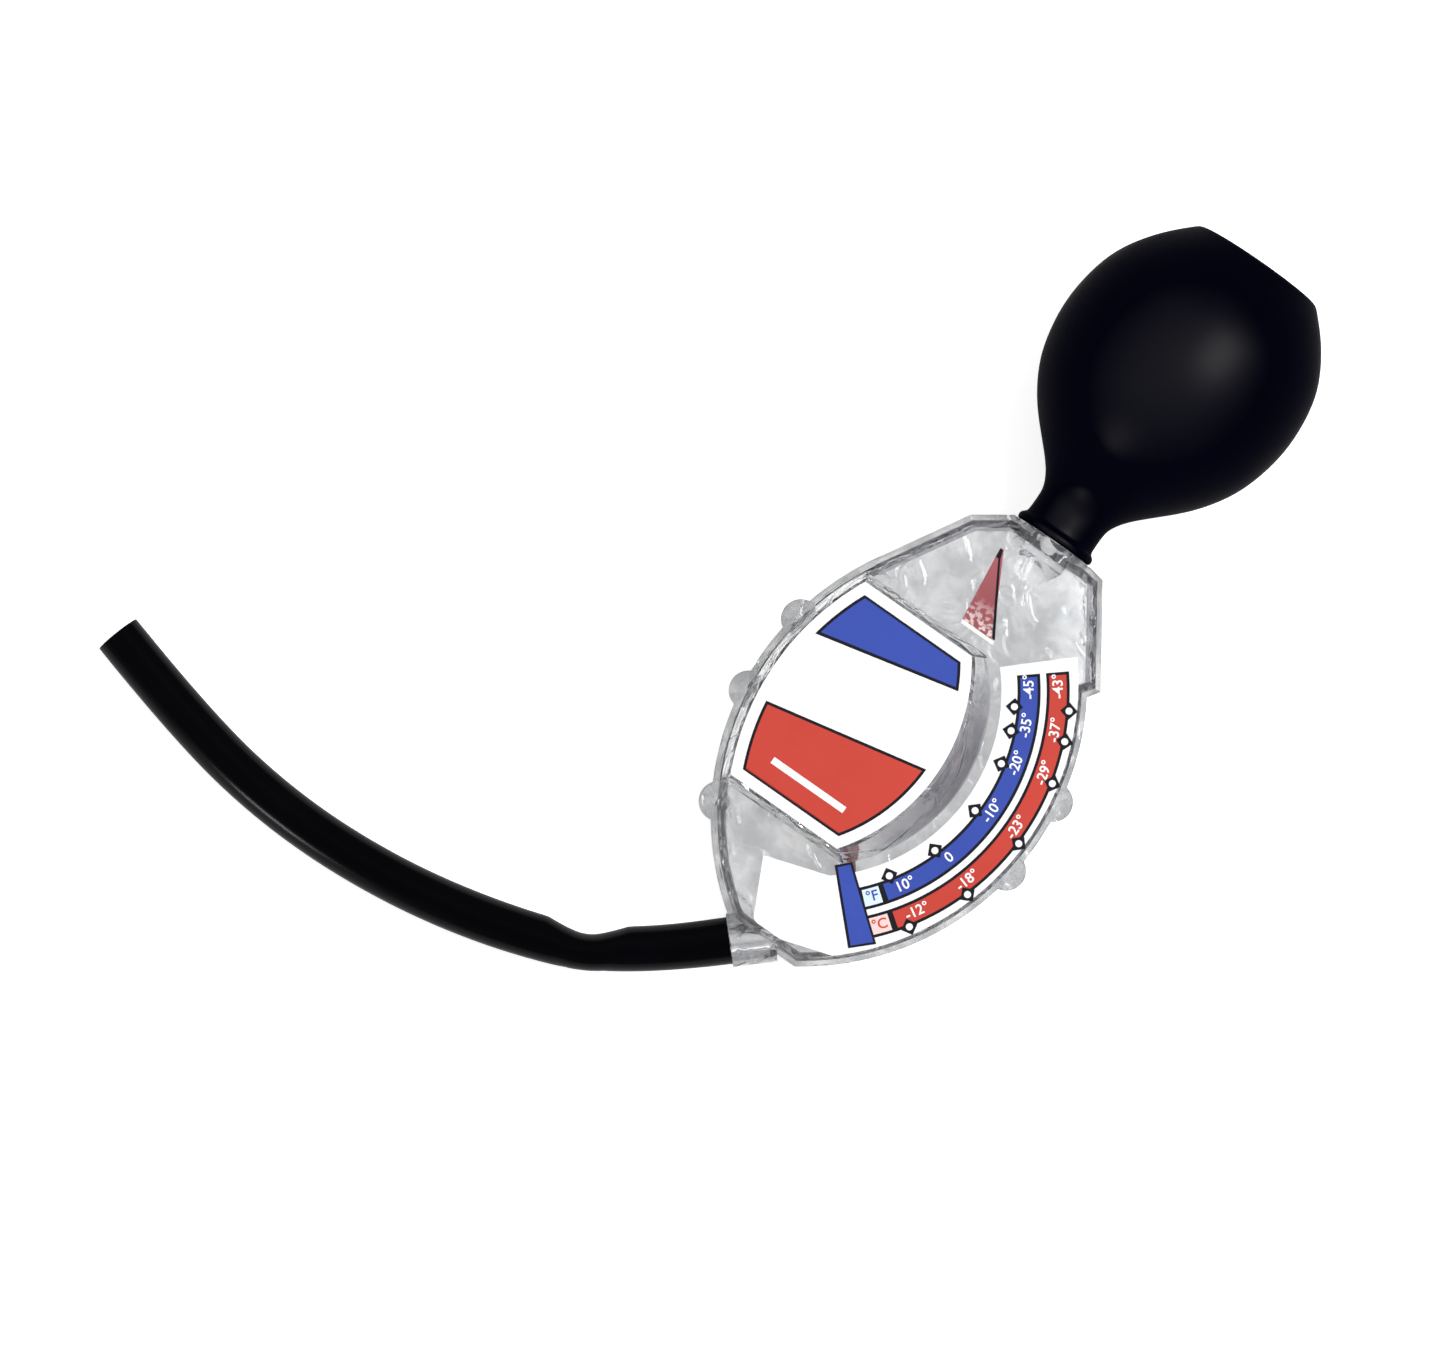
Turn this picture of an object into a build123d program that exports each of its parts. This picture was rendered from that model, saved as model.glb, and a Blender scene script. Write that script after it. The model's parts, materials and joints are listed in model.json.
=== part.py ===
"""Dial antifreeze tester: a clear two-part housing with a swinging float pointer,
a rubber squeeze bulb on its neck and a suction hose on its lower spigot.

Millimetres. The tester lies on its back on a table, dial up: +Z up, +Y towards the bulb,
+X to the right of the dial. The fat bulb lifts its end, so the dial plane is tilted about X.
The origin is under the middle of the tester, hose left out, on the table.
"""
import os
from math import acos, asin, atan2, ceil, cos, degrees, pi, radians, sin, sqrt, tan

from build123d import *

os.makedirs("parts", exist_ok=True)

# Housing, drawn in the plane where its halves meet; heights are from that plane
side_radius = 57.0
half_width = 33.4
foot_half = 7.8
eave_height = 30.0
roof_height = 21.6
left_shoulder = 16.6
left_shoulder_drop = 5.0
right_shoulder = 12.6
right_shoulder_drop = 0.6
right_ledge = 25.1
right_ledge_drop = 19.2
collar_half = 9.4
neck_x = 1.4
wall = 1.8
draft = 4.0
flange_reach = 0.9
flange_height = 1.6
deck_height = 7.0
back_depth = 9.0
back_edge_chamfer = 1.6
deck_edge_chamfer = 0.7
roof_chamfer = 2.0

# Raised plateau that carries the badge: right edge, its foot and its ends
plateau_height = 12.0
plateau_ends = 23.8
plateau_right = 9.2
plateau_right_ends = 1.2
plateau_left_inset = 2.8
plateau_foot_ends = 25.2
plateau_foot_right = 14.4
plateau_foot_right_ends = 3.6
plateau_foot_left_inset = 1.6
plateau_wall_inset = 0.9
plateau_edge_chamfer = 0.4

# Joint between the halves: tongue and groove, lugs with pegs
tongue_inset = 1.3
tongue_width = 0.7
tongue_height = 0.9
joint_clearance = 0.05
lug_radius = 4.0
lug_inset = 1.5
lug_height = 4.2
lug_angles_left = (169.6, 187.9, 211.7)
lug_angles_right = (9.3, -7.9)
peg_radius = 1.1
peg_height = 2.6
peg_boss_radius = 2.3
rim_bar_width = 0.9
rim_bar_height = 3.0

# Neck and its spigot, on which the bulb is pushed
neck_radius = 8.6
neck_length = 4.6
neck_cone_length = 6.0
neck_groove_depth = 0.5
neck_groove_width = 0.7
neck_groove_below_top = 1.1
neck_bore_radius = 3.5
neck_spigot_radius = 5.4
neck_spigot_length = 10.0
spigot_lead = 0.6
funnel_drop = 4.0

# Hose collar and its spigot
hose_aside = 5.8
hose_below_foot = 3.2
hose_angle = 223.0
hose_collar_radius = 5.5
hose_collar_length = 9.0
hose_radius = 4.75
hose_bore_radius = 3.2
hose_spigot_bore_radius = 2.0
hose_spigot_length = 12.0
hose_first_run = 23.8
hose_bend_share = 0.45
hose_route = (
    (-46.1, -104.9, 4.95),
    (-69.8, -109.6, 4.78),
    (-94.0, -110.5, 4.76),
    (-118.0, -107.0, 4.76),
    (-141.2, -100.3, 4.76),
)

# Squeeze bulb, revolved about the neck's axis
bulb_belly_radius = 32.0
bulb_belly_offset = 5.7
bulb_belly_height = 44.0
bulb_belly_arc = 28.0
bulb_neck_length = 7.8
bulb_throat_width = 13.0
bulb_throat_height = 17.4
bulb_flat_turn = 20.0
bulb_hollow_flat_turn = 45.0
bulb_rim_radius = 8.7
bulb_rim_height = 2.0
bulb_crown_height = 25.0
bulb_end_radius = 12.4
bulb_wall = 2.2
bulb_edge_chamfer = 0.6

# Float pointer and its pivot
pivot_inset = 13.2
pin_radius = 1.0
pin_seat = 1.0
running_clearance = 0.05
bush_radius = 1.8
bush_half_length = 4.6
washer_radius = 2.7
washer_thickness = 0.6
boss_radius = 3.2
arm_underside = 2.4
arm_thickness = 1.2
hub_radius = 3.6
rest_angle = -43.0
sweep_angle = 83.0
pointer_reach = 37.4
pointer_head_reach = 26.6
pointer_head_half = 3.0
pointer_neck_reach = 34.4
pointer_neck_half = 0.8
pointer_stem_half = 1.7
float_inner_radius = 9.0
float_outer_radius = 27.0
float_half_angle = 15.0
float_depth = 8.0
float_edge_fillet = 1.0
stake_radius = 0.7
stake_head_radius = 1.3
stake_head_height = 0.5
stake_places_shares = (0.42, 0.78)
weight_reach = 6.7
weight_radius = 2.0
weight_half_length = 3.0
weight_ring = 0.9
stop_radius = 1.3
stop_reach = 24.0
stop_gap = 0.3
stop_top = 1.0

# Printed labels and the fill mark
label_thickness = 0.25
badge_margin = 0.5
scale_inner_radius = 36.8
scale_outer_inset = 2.1
scale_top_angle = 42.5
panel_angle = -51.0
panel_corner_reach = 34.3
panel_corner_angle = -73.0
panel_foot_left = 4.4
panel_foot_right = 2.2
panel_foot_gap = 3.0
panel_side_gap = 6.2
panel_fillet = 1.8
mark_gap = 2.4
mark_base_left = 6.0
mark_base_right = 1.8
mark_tip_aside = 7.6
mark_tip_drop = 7.2
mark_tip_width = 0.8

overrun = 1.0

# Places that follow from these sizes
side_centre = side_radius - half_width
foot_drop = sqrt(side_radius**2 - (foot_half + side_centre) ** 2)
housing_top = eave_height + roof_height
pivot_x = pivot_inset - half_width
neck_cone_top = housing_top - neck_length
neck_cone_foot = neck_cone_top - neck_cone_length
hose_x = -hose_aside
hose_y = -foot_drop - hose_below_foot
bulb_belly_centre = housing_top + bulb_belly_height
bulb_neck_top = housing_top + bulb_neck_length
bulb_end = bulb_belly_centre + bulb_crown_height

# Attitude: the bulb's belly and the lower edge of the flat back both touch the table
back_inset = flange_reach + back_depth * tan(radians(draft)) + back_edge_chamfer
lever = bulb_belly_centre + foot_drop - back_inset
height_step = bulb_belly_offset + back_depth
tilt = asin(bulb_belly_radius / sqrt(lever**2 + height_step**2)) - atan2(height_step, lever)
parting_height = bulb_belly_radius - bulb_belly_centre * sin(tilt) - bulb_belly_offset * cos(tilt)

hose_out = Vector(cos(radians(hose_angle)), sin(radians(hose_angle)))
spigot_tip = hose_y + hose_out.Y * hose_spigot_length + hose_out.X * hose_bore_radius
reach_up = bulb_end * cos(tilt) + bulb_end_radius * sin(tilt)
reach_down = spigot_tip * cos(tilt)
parting_shift = -(reach_up + reach_down) / 2
parting = Plane(origin=(0, parting_shift, parting_height), x_dir=(1, 0, 0), z_dir=(0, -sin(tilt), cos(tilt)))

neck_axis = Axis(parting.from_local_coords((neck_x, 0, 0)), parting.y_dir)
hose_start = parting.from_local_coords((hose_x, hose_y, 0))
hose_direction = parting.x_dir * hose_out.X + parting.y_dir * hose_out.Y
hose_plane = Plane(origin=hose_start, x_dir=parting.z_dir, z_dir=hose_direction)


def arc_half_width(height, inset=0.0):
    """Distance of a side's arc from the middle line, at a height above the pivot."""
    return sqrt((side_radius - inset) ** 2 - height**2) - side_centre


def roof_left():
    """Corners of the roof from the left side, which its slope leaves at a tangent, up to the collar."""
    shoulder = Vector(neck_x - left_shoulder, housing_top - left_shoulder_drop)
    reach = shoulder - Vector(side_centre, 0)
    eave_angle = atan2(reach.Y, reach.X) + acos(side_radius / reach.length)
    eave = (side_centre + side_radius * cos(eave_angle), side_radius * sin(eave_angle))
    return [eave, (shoulder.X, shoulder.Y), (neck_x - collar_half, housing_top)]


def roof_right():
    """Corners of the roof from the collar down to the ledge over the right eave."""
    return [
        (neck_x + collar_half, housing_top),
        (neck_x + right_shoulder, housing_top - right_shoulder_drop),
        (neck_x + right_ledge, housing_top - right_ledge_drop),
        (arc_half_width(eave_height), eave_height),
    ]


def rim_outline(inset=0.0):
    """The housing's outline: two long side arcs, a flat foot and a hipped roof."""
    left_eave = roof_left()[0]
    right_eave = roof_right()[-1]
    with BuildSketch() as outline:
        with BuildLine():
            ThreePointArc((-foot_half, -foot_drop), (-half_width, 0), left_eave)
            Polyline(*roof_left(), *roof_right())
            ThreePointArc(right_eave, (half_width, 0), (foot_half, -foot_drop))
            Line((foot_half, -foot_drop), (-foot_half, -foot_drop))
        make_face()
        if inset:
            offset(amount=-inset, kind=Kind.INTERSECTION)
    return outline.sketch


def drafted_block(depth, inset):
    """A block over or under the parting plane that draws in by the draft as it leaves it."""
    with BuildPart() as block:
        with BuildSketch(parting):
            add(rim_outline(inset))
        with BuildSketch(parting.offset(depth)):
            add(rim_outline(inset + abs(depth) * tan(radians(draft))))
        loft(ruled=True)
    return block.part


def roof_wedges():
    """Wedges that bevel the deck's edge along the roof's three sloping sides."""
    slopes = list(zip(roof_left(), roof_left()[1:])) + [tuple(roof_right()[1:3])]
    edge_inset = flange_reach + deck_height * tan(radians(draft))
    leg = roof_chamfer + 2 * overrun
    with BuildPart() as wedges:
        for start, end in slopes:
            run = Vector(*end) - Vector(*start)
            along = parting.x_dir * run.X + parting.y_dir * run.Y
            origin = parting.from_local_coords((*start, deck_height))
            bevel = Plane(origin=origin, x_dir=parting.z_dir.cross(along), z_dir=along)
            corner = -edge_inset - roof_chamfer - overrun
            with BuildSketch(bevel.offset(-overrun)):
                with BuildLine():
                    Polyline((corner, overrun), (corner + leg, overrun), (corner + leg, overrun - leg), close=True)
                make_face()
            extrude(amount=run.length + 2 * overrun)
    return wedges.part


def plateau_outline(ends, right, right_ends, left_inset, inset):
    """The plateau: a bowed right edge, two straight ends and a left edge along the side arc."""
    left = arc_half_width(ends, left_inset)
    with BuildSketch() as outline:
        with BuildLine():
            ThreePointArc((right_ends, ends), (right, 0), (right_ends, -ends))
            Line((right_ends, -ends), (-left, -ends))
            ThreePointArc((-left, -ends), (side_centre + left_inset - side_radius, 0), (-left, ends))
            Line((-left, ends), (right_ends, ends))
        make_face()
        if inset:
            offset(amount=-inset, kind=Kind.INTERSECTION)
    return outline.sketch


def plateau_top(inset=0.0):
    return plateau_outline(plateau_ends, plateau_right, plateau_right_ends, plateau_left_inset, inset)


def plateau_foot(inset=0.0):
    return plateau_outline(
        plateau_foot_ends, plateau_foot_right, plateau_foot_right_ends, plateau_foot_left_inset, inset
    )


def lug_places(inset):
    """Places along both side arcs, this far inside the outline."""
    reach = side_radius - inset
    places = []
    for angle in lug_angles_left:
        places.append((side_centre + reach * cos(radians(angle)), reach * sin(radians(angle))))
    for angle in lug_angles_right:
        places.append((reach * cos(radians(angle)) - side_centre, reach * sin(radians(angle))))
    return places


def rim_bars():
    """Thin bars along the rim, which stiffen it between the lugs of each side."""
    places = lug_places(lug_inset)
    left, right = places[: len(lug_angles_left)], places[len(lug_angles_left) :]
    with BuildSketch() as bars:
        for low, high in zip(left[1:] + right[1:], left[:-1] + right[:-1]):
            with Locations(((low[0] + high[0]) / 2, (low[1] + high[1]) / 2)):
                Rectangle(4 * lug_radius, high[1] - low[1])
        add(rim_outline(), mode=Mode.INTERSECT)
        add(rim_outline(rim_bar_width), mode=Mode.SUBTRACT)
    return bars.sketch


def neck_profile():
    """Half the neck that rises out of the deck, with the spigot beyond it."""
    tip = housing_top + neck_spigot_length
    groove_top = housing_top - neck_groove_below_top
    with BuildSketch() as profile:
        with BuildLine():
            Polyline(
                (neck_x, neck_cone_foot),
                (neck_x + deck_height, neck_cone_foot),
                (neck_x + neck_radius, neck_cone_top),
                (neck_x + neck_radius, groove_top - neck_groove_width),
                (neck_x + neck_radius - neck_groove_depth, groove_top - neck_groove_width),
                (neck_x + neck_radius - neck_groove_depth, groove_top),
                (neck_x + neck_radius, groove_top),
                (neck_x + neck_radius, housing_top),
                (neck_x + neck_spigot_radius, housing_top),
                (neck_x + neck_spigot_radius, tip - spigot_lead),
                (neck_x + neck_spigot_radius - spigot_lead, tip),
                (neck_x, tip),
                close=True,
            )
        make_face()
    return profile.sketch


def neck_bore_profile():
    """Half the way up into the bulb, with a funnel at its lower end."""
    funnel_radius = deck_height - wall
    tip = housing_top + neck_spigot_length + overrun
    with BuildSketch() as profile:
        with BuildLine():
            Polyline(
                (neck_x, neck_cone_foot - funnel_drop),
                (neck_x + funnel_radius, neck_cone_foot - funnel_drop),
                (neck_x + funnel_radius, neck_cone_top),
                (neck_x + neck_bore_radius, neck_cone_top + funnel_radius - neck_bore_radius),
                (neck_x + neck_bore_radius, tip),
                (neck_x, tip),
                close=True,
            )
        make_face()
    return profile.sketch


def joint_ring(inset, width):
    """A ring along the rim, broken where the neck and the hose collar cross it."""
    with BuildSketch() as ring:
        add(rim_outline(inset))
        add(rim_outline(inset + width), mode=Mode.SUBTRACT)
        with Locations((neck_x, housing_top)):
            Rectangle(2 * neck_radius, 2 * wall + 2 * tongue_inset + 2 * width, mode=Mode.SUBTRACT)
        with Locations((hose_x, hose_y)):
            Circle(hose_collar_length, mode=Mode.SUBTRACT)
    return ring.sketch


def place_of(shape):
    """A shape's centre in the parting plane's own coordinates."""
    return parting.to_local_coords(shape.center())


def height_of(shape):
    return place_of(shape).Z


def bulb_profile(inset, neck_wall, flat_turn):
    """Half the bulb's outline: throat, belly and crown arcs, each cut into flats that turn by this much."""
    radius = bulb_belly_radius - inset
    side = neck_x - bulb_belly_offset + radius * cos(radians(bulb_belly_arc))
    low = (side, bulb_belly_centre - radius * sin(radians(bulb_belly_arc)))
    high = (side, bulb_belly_centre + radius * sin(radians(bulb_belly_arc)))
    lean = (sin(radians(bulb_belly_arc)), cos(radians(bulb_belly_arc)))
    widest = (neck_x - bulb_belly_offset + radius, bulb_belly_centre)
    throat = (neck_x + bulb_throat_width - inset, housing_top + bulb_throat_height)
    neck = (neck_x + neck_wall, bulb_neck_top)
    end = (neck_x + bulb_end_radius - inset, bulb_end - inset)
    with BuildLine(mode=Mode.PRIVATE) as arcs:
        shoulder_arc = TangentArc(low, throat, tangent=(-lean[0], -lean[1]))
        throat_arc = TangentArc(throat, neck, tangent=shoulder_arc % 1)
        belly_arc = ThreePointArc(low, widest, high)
        crown_arc = TangentArc(high, end, tangent=(-lean[0], lean[1]))
    places = [(neck_x, end[1]), (neck_x, housing_top), (neck[0], housing_top), neck]
    for arc, first, last in ((throat_arc, 1, 0), (shoulder_arc, 1, 0), (belly_arc, 0, 1), (crown_arc, 0, 1)):
        flats = ceil((arc % 0).get_angle(arc % 1) / flat_turn)
        places += [arc @ (first + (last - first) * step / flats) for step in range(1, flats + 1)]
    with BuildSketch() as profile:
        with BuildLine():
            Polyline(*places, close=True)
        make_face()
    return profile.sketch


def polar_place(radius, angle):
    """A place at this radius and angle about the pivot."""
    return (pivot_x + radius * cos(radians(angle)), radius * sin(radians(angle)))


def float_outline():
    """A kidney-shaped float: a sector of a ring about the pivot, at the pointer's rest angle."""
    first = rest_angle - float_half_angle
    last = rest_angle + float_half_angle
    with BuildSketch() as outline:
        with BuildLine():
            ThreePointArc(
                polar_place(float_outer_radius, first), polar_place(float_outer_radius, rest_angle), polar_place(float_outer_radius, last)
            )
            Line(polar_place(float_outer_radius, last), polar_place(float_inner_radius, last))
            ThreePointArc(
                polar_place(float_inner_radius, last), polar_place(float_inner_radius, rest_angle), polar_place(float_inner_radius, first)
            )
            Line(polar_place(float_inner_radius, first), polar_place(float_outer_radius, first))
        make_face()
        fillet(outline.vertices(), float_edge_fillet)
    return outline.sketch


def stake_places():
    """Where the two stakes that hold the float pass through the arm."""
    span = float_outer_radius - float_inner_radius
    return [polar_place(float_inner_radius + share * span, rest_angle) for share in stake_places_shares]


def shell_fittings():
    """The neck and the hose collar with their spigots, whole, before the halves are parted."""
    with BuildPart() as fittings:
        with BuildSketch(parting):
            add(neck_profile())
        revolve(axis=neck_axis)
        with BuildSketch(hose_plane):
            Circle(hose_collar_radius)
        extrude(amount=-hose_collar_length)
        with BuildSketch(hose_plane):
            Circle(hose_bore_radius)
        extrude(amount=hose_spigot_length)
    return fittings.part


def shell_bores():
    """The ways through the neck and through the hose spigot."""
    with BuildPart() as bores:
        with BuildSketch(parting):
            add(neck_bore_profile())
        revolve(axis=neck_axis)
        with BuildSketch(hose_plane.offset(hose_spigot_length + overrun)):
            Circle(hose_spigot_bore_radius)
        extrude(amount=-(hose_spigot_length + hose_collar_length + hose_collar_radius + overrun))
    return bores.part


# Front shell: clear moulding with the dial deck, the plateau and half of each spigot
with BuildPart() as front_shell:
    add(drafted_block(deck_height, flange_reach))
    deck_edges = front_shell.edges().filter_by(lambda edge: height_of(edge) > deck_height - joint_clearance)
    chamfer(deck_edges.filter_by(lambda edge: place_of(edge).Y < eave_height), deck_edge_chamfer)
    add(roof_wedges(), mode=Mode.SUBTRACT)
    with BuildSketch(parting):
        add(rim_outline())
    extrude(amount=flange_height)
    with BuildSketch(parting):
        with Locations(lug_places(lug_inset)):
            Circle(lug_radius)
    extrude(amount=lug_height)
    with BuildSketch(parting):
        add(rim_bars())
    extrude(amount=rim_bar_height)
    with BuildSketch(parting.offset(deck_height)):
        add(plateau_foot())
    with BuildSketch(parting.offset(plateau_height)):
        add(plateau_top())
    loft(ruled=True)
    plateau_edges = front_shell.edges().filter_by(lambda edge: height_of(edge) > plateau_height - joint_clearance)
    chamfer(plateau_edges, plateau_edge_chamfer)
    add(shell_fittings())
    split(bisect_by=parting, keep=Keep.TOP)
    add(drafted_block(deck_height - wall, flange_reach + wall), mode=Mode.SUBTRACT)
    with BuildSketch(parting.offset(deck_height - wall)):
        add(plateau_foot(plateau_wall_inset))
    with BuildSketch(parting.offset(plateau_height - wall)):
        add(plateau_top(plateau_wall_inset))
    loft(ruled=True, mode=Mode.SUBTRACT)
    with BuildSketch(parting):
        with Locations(lug_places(lug_inset)):
            Circle(peg_boss_radius)
    extrude(amount=deck_height - wall)
    with BuildSketch(parting.offset(bush_half_length + washer_thickness)):
        with Locations((pivot_x, 0)):
            Circle(boss_radius)
    extrude(amount=plateau_height - wall - bush_half_length - washer_thickness)
    add(shell_bores(), mode=Mode.SUBTRACT)
    with BuildSketch(parting):
        with Locations(lug_places(lug_inset)):
            Circle(peg_radius + joint_clearance)
    extrude(amount=peg_height + joint_clearance, mode=Mode.SUBTRACT)
    with BuildSketch(parting.offset(bush_half_length + washer_thickness)):
        with Locations((pivot_x, 0)):
            Circle(pin_radius)
    extrude(amount=pin_seat, mode=Mode.SUBTRACT)
    with BuildSketch(parting):
        add(joint_ring(tongue_inset - joint_clearance, tongue_width + 2 * joint_clearance))
    extrude(amount=tongue_height + joint_clearance, mode=Mode.SUBTRACT)

# Back shell: clear moulding, a flat-backed pan with the pegs, the tongue and the pointer's stops
with BuildPart() as back_shell:
    add(drafted_block(-back_depth, flange_reach))
    back_face = back_shell.faces().sort_by(height_of)[0]
    chamfer(back_face.edges(), back_edge_chamfer)
    with BuildSketch(parting):
        add(rim_outline())
    extrude(amount=-flange_height)
    with BuildSketch(parting):
        with Locations(lug_places(lug_inset)):
            Circle(lug_radius)
    extrude(amount=-lug_height)
    add(shell_fittings())
    split(bisect_by=parting, keep=Keep.BOTTOM)
    add(drafted_block(wall - back_depth, flange_reach + wall), mode=Mode.SUBTRACT)
    with BuildSketch(parting):
        with Locations(lug_places(lug_inset)):
            Circle(peg_boss_radius)
    extrude(amount=wall - back_depth)
    with BuildSketch(parting.offset(-bush_half_length - washer_thickness)):
        with Locations((pivot_x, 0)):
            Circle(boss_radius)
    extrude(amount=bush_half_length + washer_thickness + wall - back_depth)
    add(shell_bores(), mode=Mode.SUBTRACT)
    with BuildSketch(parting.offset(-bush_half_length - washer_thickness)):
        with Locations((pivot_x, 0)):
            Circle(pin_radius)
    extrude(amount=-pin_seat, mode=Mode.SUBTRACT)
    with BuildSketch(parting):
        with Locations(lug_places(lug_inset)):
            Circle(peg_radius)
    extrude(amount=peg_height)
    with BuildSketch(parting):
        add(joint_ring(tongue_inset, tongue_width))
    extrude(amount=tongue_height)
    stop_lean = degrees(asin((stop_radius + stop_gap) / stop_reach)) + float_half_angle
    with BuildSketch(parting.offset(wall - back_depth)):
        with Locations(
            polar_place(stop_reach, rest_angle - stop_lean),
            polar_place(stop_reach, rest_angle + sweep_angle + stop_lean),
        ):
            Circle(stop_radius)
    extrude(amount=back_depth - wall + stop_top)

# Pivot pin: plain steel pin, its ends held in the two bosses
with BuildPart() as pivot_pin:
    pin_end = bush_half_length + washer_thickness + pin_seat
    with BuildSketch(parting.offset(-pin_end)):
        with Locations((pivot_x, 0)):
            Circle(pin_radius)
    extrude(amount=2 * pin_end)

# Thin washers between the bush and the bosses
with BuildPart() as front_washer:
    with BuildSketch(parting.offset(bush_half_length)):
        with Locations((pivot_x, 0)):
            Circle(washer_radius)
            Circle(pin_radius, mode=Mode.SUBTRACT)
    extrude(amount=washer_thickness)

with BuildPart() as back_washer:
    with BuildSketch(parting.offset(-bush_half_length)):
        with Locations((pivot_x, 0)):
            Circle(washer_radius)
            Circle(pin_radius, mode=Mode.SUBTRACT)
    extrude(amount=-washer_thickness)

# Bush: brass tube that turns on the pin with the arm
with BuildPart() as pivot_bush:
    bush_end = bush_half_length - running_clearance
    with BuildSketch(parting.offset(-bush_end)):
        with Locations((pivot_x, 0)):
            Circle(bush_radius)
            Circle(pin_radius + running_clearance, mode=Mode.SUBTRACT)
    extrude(amount=2 * bush_end)

# Pointer arm: one red moulding with its hub, the pointer and a ring for the balance weight
with BuildPart() as pointer_arm:
    with BuildSketch(parting.offset(arm_underside)):
        with BuildLine(mode=Mode.PRIVATE) as needle_line:
            Polyline(
                (0, pointer_stem_half),
                (pointer_head_reach, pointer_stem_half),
                (pointer_head_reach, pointer_head_half),
                (pointer_neck_reach, pointer_neck_half),
                (pointer_reach, 0),
                (pointer_neck_reach, -pointer_neck_half),
                (pointer_head_reach, -pointer_head_half),
                (pointer_head_reach, -pointer_stem_half),
                (0, -pointer_stem_half),
                close=True,
            )
        with Locations(Location((pivot_x, 0), rest_angle)):
            add(make_face(needle_line.edges(), mode=Mode.PRIVATE))
        with Locations((pivot_x, 0)):
            Circle(hub_radius)
        with Locations(Location((pivot_x, 0), rest_angle + 180)):
            with Locations((weight_reach / 2, 0)):
                Rectangle(weight_reach, 2 * pointer_stem_half)
            with Locations((weight_reach, 0)):
                Circle(weight_radius + weight_ring)
                Circle(weight_radius, mode=Mode.SUBTRACT)
        with Locations((pivot_x, 0)):
            Circle(bush_radius, mode=Mode.SUBTRACT)
        with Locations(stake_places()):
            Circle(stake_radius, mode=Mode.SUBTRACT)
    extrude(amount=arm_thickness)

# Float: hollow-foam block under the arm, held by two staked studs
with BuildPart() as float_block:
    with BuildSketch(parting.offset(arm_underside - float_depth)):
        add(float_outline())
    extrude(amount=float_depth)
    with BuildSketch(parting.offset(arm_underside)):
        with Locations(stake_places()):
            Circle(stake_radius)
    extrude(amount=arm_thickness)
    with BuildSketch(parting.offset(arm_underside + arm_thickness)):
        with Locations(stake_places()):
            Circle(stake_head_radius)
    extrude(amount=stake_head_height)

# Balance weight: brass slug pressed into the arm's short end
with BuildPart() as balance_weight:
    with BuildSketch(parting.offset(arm_underside + arm_thickness - weight_half_length * 2)):
        with Locations(polar_place(-weight_reach, rest_angle)):
            Circle(weight_radius)
    extrude(amount=2 * weight_half_length)

# Squeeze bulb: hollow black rubber with a rolled rim, pushed over the neck's spigot
with BuildPart() as squeeze_bulb:
    with BuildSketch(parting):
        add(bulb_profile(0, neck_spigot_radius + bulb_wall, bulb_flat_turn))
        with Locations((neck_x + bulb_rim_radius / 2, housing_top + bulb_rim_height / 2)):
            Rectangle(bulb_rim_radius, bulb_rim_height)
    revolve(axis=neck_axis)
    rounds = squeeze_bulb.edges().filter_by(GeomType.CIRCLE)
    rounded = rounds.filter_by(
        lambda edge: min(abs(edge.radius - bulb_rim_radius), abs(edge.radius - bulb_end_radius)) < joint_clearance
    )
    chamfer(rounded, bulb_edge_chamfer)
    with BuildSketch(parting):
        add(bulb_profile(bulb_wall, neck_spigot_radius, bulb_hollow_flat_turn))
    revolve(axis=neck_axis, mode=Mode.SUBTRACT)

# Suction hose: plain rubber tube from the collar down to the table and along it
hose_points = [hose_start, hose_start + hose_direction * hose_first_run]
hose_points += [Vector(*place) for place in hose_route]
hose_radii = []
for before, here, after in zip(hose_points, hose_points[1:], hose_points[2:]):
    turn = (here - before).get_angle(after - here)
    shorter = min((here - before).length, (after - here).length)
    hose_radii.append(hose_bend_share * shorter / tan(radians(turn) / 2))
with BuildPart() as suction_hose:
    with BuildLine() as hose_path:
        FilletPolyline(hose_points, radius=hose_radii)
    with BuildSketch(hose_plane):
        Circle(hose_radius)
        Circle(hose_bore_radius, mode=Mode.SUBTRACT)
    sweep()
print("hose bend radii", [round(radius, 1) for radius in hose_radii])
hose_length = sum(edge.length for edge in hose_path.edges())
hose_section = pi * (hose_radius**2 - hose_bore_radius**2)
print("hose length", round(hose_length, 1), "volume over section times length", round(
    suction_hose.part.volume / (hose_section * hose_length), 5))

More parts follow.
